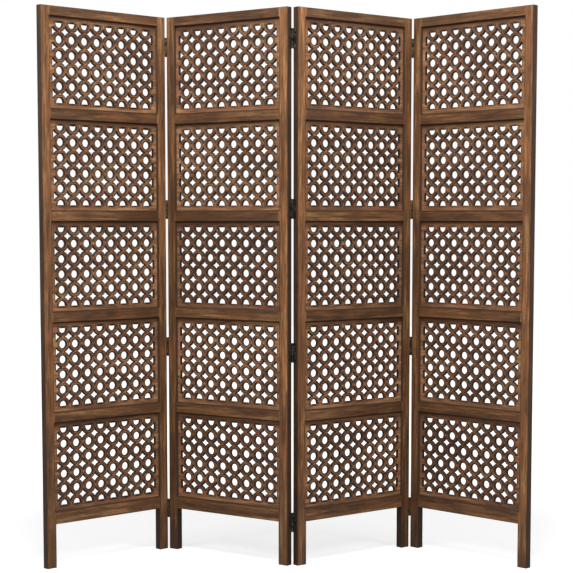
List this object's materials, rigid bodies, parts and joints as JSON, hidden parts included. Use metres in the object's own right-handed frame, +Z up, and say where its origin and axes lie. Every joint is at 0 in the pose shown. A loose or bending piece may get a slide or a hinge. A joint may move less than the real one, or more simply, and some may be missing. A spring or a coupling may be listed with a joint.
{
  "type": "folding screen",
  "caption": "Free-standing folding wooden screen: mortised frame panels with pierced jali lattice infill, joined by butt hinges so that it stands in a zigzag and folds flat.",
  "frame": {"origin": "on the floor, at the middle of the footprint of the screen as it stands in the picture", "axes": "+Z up, +X along the screen's line to the viewer's right, the viewer stands on the -Y side"},
  "size_m": [1.6074, 0.3904, 1.832],
  "materials": {
    "frame_wood": "dark stained hardwood, burnished to tan on the worn faces, open straight grain",
    "jali_wood": "reddish brown stained hardwood, carved and pierced, dark in the cuts",
    "hinge_iron": "blackened iron butt hinges",
    "hinge_pin_steel": "darkened steel hinge pins"
  },
  "bodies": {
    "panel_1": {"panel_1_left_stile": "frame_wood", "panel_1_right_stile": "frame_wood", "panel_1_bottom_rail": "frame_wood", "panel_1_top_rail": "frame_wood", "panel_1_mid_rail_1": "frame_wood", "panel_1_mid_rail_2": "frame_wood", "panel_1_mid_rail_3": "frame_wood", "panel_1_mid_rail_4": "frame_wood", "panel_1_jali_1": "jali_wood", "panel_1_jali_2": "jali_wood", "panel_1_jali_3": "jali_wood", "panel_1_jali_4": "jali_wood", "panel_1_jali_5": "jali_wood", "panel_1_right_leaves": "hinge_iron"},
    "panel_2": {"panel_2_left_stile": "frame_wood", "panel_2_right_stile": "frame_wood", "panel_2_bottom_rail": "frame_wood", "panel_2_top_rail": "frame_wood", "panel_2_mid_rail_1": "frame_wood", "panel_2_mid_rail_2": "frame_wood", "panel_2_mid_rail_3": "frame_wood", "panel_2_mid_rail_4": "frame_wood", "panel_2_jali_1": "jali_wood", "panel_2_jali_2": "jali_wood", "panel_2_jali_3": "jali_wood", "panel_2_jali_4": "jali_wood", "panel_2_jali_5": "jali_wood", "panel_2_left_leaves": "hinge_iron", "panel_2_right_leaves": "hinge_iron", "panel_2_hinge_pins": "hinge_pin_steel"},
    "panel_3": {"panel_3_left_stile": "frame_wood", "panel_3_right_stile": "frame_wood", "panel_3_bottom_rail": "frame_wood", "panel_3_top_rail": "frame_wood", "panel_3_mid_rail_1": "frame_wood", "panel_3_mid_rail_2": "frame_wood", "panel_3_mid_rail_3": "frame_wood", "panel_3_mid_rail_4": "frame_wood", "panel_3_jali_1": "jali_wood", "panel_3_jali_2": "jali_wood", "panel_3_jali_3": "jali_wood", "panel_3_jali_4": "jali_wood", "panel_3_jali_5": "jali_wood", "panel_3_left_leaves": "hinge_iron", "panel_3_right_leaves": "hinge_iron"},
    "panel_4": {"panel_4_left_stile": "frame_wood", "panel_4_right_stile": "frame_wood", "panel_4_bottom_rail": "frame_wood", "panel_4_top_rail": "frame_wood", "panel_4_mid_rail_1": "frame_wood", "panel_4_mid_rail_2": "frame_wood", "panel_4_mid_rail_3": "frame_wood", "panel_4_mid_rail_4": "frame_wood", "panel_4_jali_1": "jali_wood", "panel_4_jali_2": "jali_wood", "panel_4_jali_3": "jali_wood", "panel_4_jali_4": "jali_wood", "panel_4_jali_5": "jali_wood", "panel_4_left_leaves": "hinge_iron", "panel_4_hinge_pins": "hinge_pin_steel"}
  },
  "joints": [
    {"name": "fold_1_2", "type": "hinge", "parent": "panel_2", "child": "panel_1", "pos_m": [-0.41588, 0.14539, 0.9], "axis": [0, 0, 1], "range_deg": [-77.3, 102.7]},
    {"name": "fold_2_3", "type": "hinge", "parent": "panel_2", "child": "panel_3", "pos_m": [0.01693, -0.12006, 0.9], "axis": [0, 0, 1], "range_deg": [-73.5, 106.5]},
    {"name": "fold_3_4", "type": "hinge", "parent": "panel_3", "child": "panel_4", "pos_m": [0.42862, 0.17709, 0.9], "axis": [0, 0, 1], "range_deg": [-96.2, 83.8]}
  ]
}
